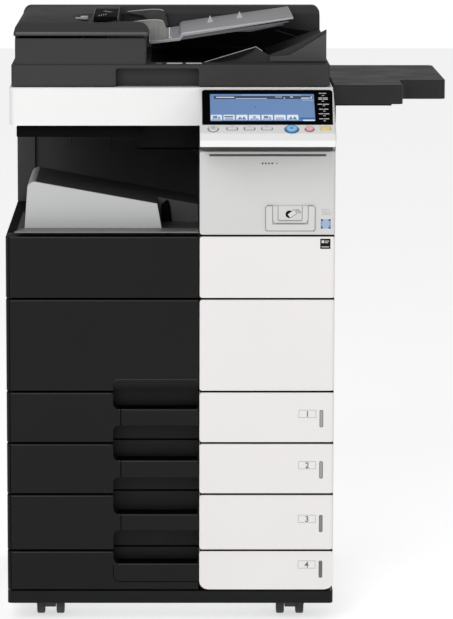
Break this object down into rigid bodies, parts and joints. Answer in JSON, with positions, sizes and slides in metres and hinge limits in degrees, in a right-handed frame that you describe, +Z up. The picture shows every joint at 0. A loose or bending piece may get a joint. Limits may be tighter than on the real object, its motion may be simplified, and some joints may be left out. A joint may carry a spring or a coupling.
{
  "type": "photocopier",
  "caption": "Floor-standing office photocopier with paper drawers, exit bay, scanner, document feeder, tilting operation panel and side work table, on casters.",
  "frame": {"origin": "on the floor, under the middle of the overall box", "axes": "+Z up, +X to the machine's right-hand side as its user sees it, +Y to the machine's rear"},
  "size_m": [0.8284, 0.7102, 1.1405],
  "materials": {
    "black_cover": "fine moulded texture",
    "white_cover": "fine moulded texture",
    "light_grey_cover": "satin moulded",
    "bay_plastic": "satin moulded",
    "frame_steel": "zinc plated sheet",
    "feeder_plastic": "fine moulded texture",
    "document_grey": "satin moulded",
    "guide_grey": "satin moulded",
    "pad_white": "smooth sheet",
    "platen_glass": "clear",
    "carriage_black": "satin moulded",
    "screen": "glossy display",
    "key_white": "satin",
    "key_start": "satin",
    "key_stop": "satin",
    "key_reset": "satin",
    "table_black": "fine moulded texture",
    "caster_black": "moulded nylon",
    "caster_rubber": "smooth tread",
    "drum_coating": "polished coating",
    "toner_plastic": "moulded",
    "unit_metal": "folded sheet"
  },
  "bodies": {
    "cabinet": {"base_cover": "black_cover", "cabinet_frame": "frame_steel", "main_frame": "frame_steel", "left_cover": "black_cover", "right_cover": "white_cover", "rear_cover": "white_cover", "exit_bay_liner": "bay_plastic", "exit_tray": "bay_plastic", "exit_tray_face": "light_grey_cover", "front_right_cover": "light_grey_cover", "card_reader_pad": "light_grey_cover", "scanner_housing": "white_cover", "platen_glass": "platen_glass", "fuser_unit": "unit_metal", "power_unit": "unit_metal", "toner_cartridge": "toner_plastic", "work_table": "table_black", "panel_bracket": "bay_plastic", "feeder_hinges": "frame_steel"},
    "caster_swivel_front_left": {"caster_fork_front_left": "caster_black"},
    "caster_roll_front_left": {"caster_wheels_front_left": "caster_rubber"},
    "caster_swivel_rear_left": {"caster_fork_rear_left": "caster_black"},
    "caster_roll_rear_left": {"caster_wheels_rear_left": "caster_rubber"},
    "caster_swivel_front_right": {"caster_fork_front_right": "caster_black"},
    "caster_roll_front_right": {"caster_wheels_front_right": "caster_rubber"},
    "caster_swivel_rear_right": {"caster_fork_rear_right": "caster_black"},
    "caster_roll_rear_right": {"caster_wheels_rear_right": "caster_rubber"},
    "scan_carriage": {"scan_carriage": "carriage_black"},
    "drawer_1": {"drawer_1": "black_cover", "drawer_panel_1": "white_cover"},
    "drawer_2": {"drawer_2": "black_cover", "drawer_panel_2": "white_cover"},
    "drawer_3": {"drawer_3": "black_cover", "drawer_panel_3": "white_cover"},
    "drawer_4": {"drawer_4": "black_cover", "drawer_panel_4": "white_cover"},
    "lower_door": {"lower_door": "black_cover", "lower_door_panel": "white_cover"},
    "upper_door": {"upper_door": "black_cover", "upper_door_panel": "white_cover"},
    "right_door": {"right_door": "white_cover"},
    "bypass_tray": {"bypass_tray": "white_cover"},
    "feeder": {"feeder_base": "feeder_plastic", "feed_housing": "feeder_plastic", "feeder_rear_cover": "feeder_plastic", "platen_pad": "pad_white"},
    "feeder_lid": {"feeder_lid": "feeder_plastic"},
    "document_tray": {"document_tray": "document_grey"},
    "document_guide_front": {"document_guide_front": "guide_grey"},
    "document_guide_rear": {"document_guide_rear": "guide_grey"},
    "panel": {"panel_housing": "white_cover", "touch_screen": "screen"},
    "power_key": {"power_key": "key_white"},
    "register_key_1": {"register_key_1": "key_white"},
    "register_key_2": {"register_key_2": "key_white"},
    "register_key_3": {"register_key_3": "key_white"},
    "start_key": {"start_key": "key_start"},
    "stop_key": {"stop_key": "key_stop"},
    "reset_key": {"reset_key": "key_reset"},
    "photoconductor_drum": {"photoconductor_drum": "drum_coating"}
  },
  "joints": [
    {"name": "caster_swivel_front_left", "type": "hinge", "parent": "cabinet", "child": "caster_swivel_front_left", "pos_m": [-0.33475, -0.15491, 0.045], "axis": [0, 0, 1], "continuous": true},
    {"name": "caster_roll_front_left", "type": "hinge", "parent": "caster_swivel_front_left", "child": "caster_roll_front_left", "pos_m": [-0.33475, -0.13891, 0.025], "axis": [1, 0, 0], "continuous": true},
    {"name": "caster_swivel_rear_left", "type": "hinge", "parent": "cabinet", "child": "caster_swivel_rear_left", "pos_m": [-0.33475, 0.29009, 0.045], "axis": [0, 0, 1], "continuous": true},
    {"name": "caster_roll_rear_left", "type": "hinge", "parent": "caster_swivel_rear_left", "child": "caster_roll_rear_left", "pos_m": [-0.33475, 0.30609, 0.025], "axis": [1, 0, 0], "continuous": true},
    {"name": "caster_swivel_front_right", "type": "hinge", "parent": "cabinet", "child": "caster_swivel_front_right", "pos_m": [0.12125, -0.15491, 0.045], "axis": [0, 0, 1], "continuous": true},
    {"name": "caster_roll_front_right", "type": "hinge", "parent": "caster_swivel_front_right", "child": "caster_roll_front_right", "pos_m": [0.12125, -0.13891, 0.025], "axis": [1, 0, 0], "continuous": true},
    {"name": "caster_swivel_rear_right", "type": "hinge", "parent": "cabinet", "child": "caster_swivel_rear_right", "pos_m": [0.12125, 0.29009, 0.045], "axis": [0, 0, 1], "continuous": true},
    {"name": "caster_roll_rear_right", "type": "hinge", "parent": "caster_swivel_rear_right", "child": "caster_roll_rear_right", "pos_m": [0.12125, 0.30609, 0.025], "axis": [1, 0, 0], "continuous": true},
    {"name": "scan_slide", "type": "slide", "parent": "cabinet", "child": "scan_carriage", "axis": [1, 0, 0], "range_m": [0, 0.5]},
    {"name": "drawer_1_slide", "type": "slide", "parent": "cabinet", "child": "drawer_1", "axis": [0, -1, 0], "range_m": [0, 0.4]},
    {"name": "drawer_2_slide", "type": "slide", "parent": "cabinet", "child": "drawer_2", "axis": [0, -1, 0], "range_m": [0, 0.4]},
    {"name": "drawer_3_slide", "type": "slide", "parent": "cabinet", "child": "drawer_3", "axis": [0, -1, 0], "range_m": [0, 0.4]},
    {"name": "drawer_4_slide", "type": "slide", "parent": "cabinet", "child": "drawer_4", "axis": [0, -1, 0], "range_m": [0, 0.4]},
    {"name": "lower_door_hinge", "type": "hinge", "parent": "cabinet", "child": "lower_door", "pos_m": [-0.10675, -0.20191, 0.45075], "axis": [1, 0, 0], "range_deg": [0, 90]},
    {"name": "upper_door_hinge", "type": "hinge", "parent": "cabinet", "child": "upper_door", "pos_m": [-0.10675, -0.20191, 0.62675], "axis": [1, 0, 0], "range_deg": [0, 90]},
    {"name": "right_door_hinge", "type": "hinge", "parent": "cabinet", "child": "right_door", "pos_m": [0.19925, 0.08509, 0.366], "axis": [0, 1, 0], "range_deg": [0, 75]},
    {"name": "bypass_tray_hinge", "type": "hinge", "parent": "right_door", "child": "bypass_tray", "pos_m": [0.19925, 0.08509, 0.3975], "axis": [0, 1, 0], "range_deg": [0, 80]},
    {"name": "feeder_hinge", "type": "hinge", "parent": "cabinet", "child": "feeder", "pos_m": [-0.10675, 0.34509, 1.019], "axis": [-1, 0, 0], "range_deg": [0, 60]},
    {"name": "feeder_lid_hinge", "type": "hinge", "parent": "feeder", "child": "feeder_lid", "pos_m": [-0.39275, -0.00991, 1.1105], "axis": [0, -1, 0], "range_deg": [0, 70]},
    {"name": "document_tray_hinge", "type": "hinge", "parent": "feeder", "child": "document_tray", "pos_m": [-0.14475, 0.03259, 1.085], "axis": [0, -1, 0], "range_deg": [0, 40]},
    {"name": "document_guide_front_slide", "type": "slide", "parent": "document_tray", "child": "document_guide_front", "axis": [0, 1, 0], "range_m": [0, 0.1]},
    {"name": "document_guide_rear_slide", "type": "slide", "parent": "document_tray", "child": "document_guide_rear", "axis": [0, -1, 0], "range_m": [0, 0.1]},
    {"name": "panel_tilt", "type": "hinge", "parent": "cabinet", "child": "panel", "pos_m": [0.07125, -0.25057, 0.95163], "axis": [1, 0, 0], "range_deg": [0, 35]},
    {"name": "power_key_press", "type": "slide", "parent": "panel", "child": "power_key", "axis": [0, 0.471, -0.8821], "range_m": [0, 0.0015], "stiffness_N_per_m": 400, "springref_m": -0.0005},
    {"name": "register_key_1_press", "type": "slide", "parent": "panel", "child": "register_key_1", "axis": [0, 0.471, -0.8821], "range_m": [0, 0.0015], "stiffness_N_per_m": 400, "springref_m": -0.0005},
    {"name": "register_key_2_press", "type": "slide", "parent": "panel", "child": "register_key_2", "axis": [0, 0.471, -0.8821], "range_m": [0, 0.0015], "stiffness_N_per_m": 400, "springref_m": -0.0005},
    {"name": "register_key_3_press", "type": "slide", "parent": "panel", "child": "register_key_3", "axis": [0, 0.471, -0.8821], "range_m": [0, 0.0015], "stiffness_N_per_m": 400, "springref_m": -0.0005},
    {"name": "start_key_press", "type": "slide", "parent": "panel", "child": "start_key", "axis": [0, 0.471, -0.8821], "range_m": [0, 0.0015], "stiffness_N_per_m": 400, "springref_m": -0.0005},
    {"name": "stop_key_press", "type": "slide", "parent": "panel", "child": "stop_key", "axis": [0, 0.471, -0.8821], "range_m": [0, 0.0015], "stiffness_N_per_m": 400, "springref_m": -0.0005},
    {"name": "reset_key_press", "type": "slide", "parent": "panel", "child": "reset_key", "axis": [0, 0.471, -0.8821], "range_m": [0, 0.0015], "stiffness_N_per_m": 400, "springref_m": -0.0005},
    {"name": "drum_spin", "type": "hinge", "parent": "cabinet", "child": "photoconductor_drum", "pos_m": [0.02325, 0.03009, 0.636], "axis": [0, 1, 0], "continuous": true}
  ],
  "couplings": [
    {"joint": "document_guide_rear_slide", "follows": "document_guide_front_slide", "ratio": 1}
  ]
}
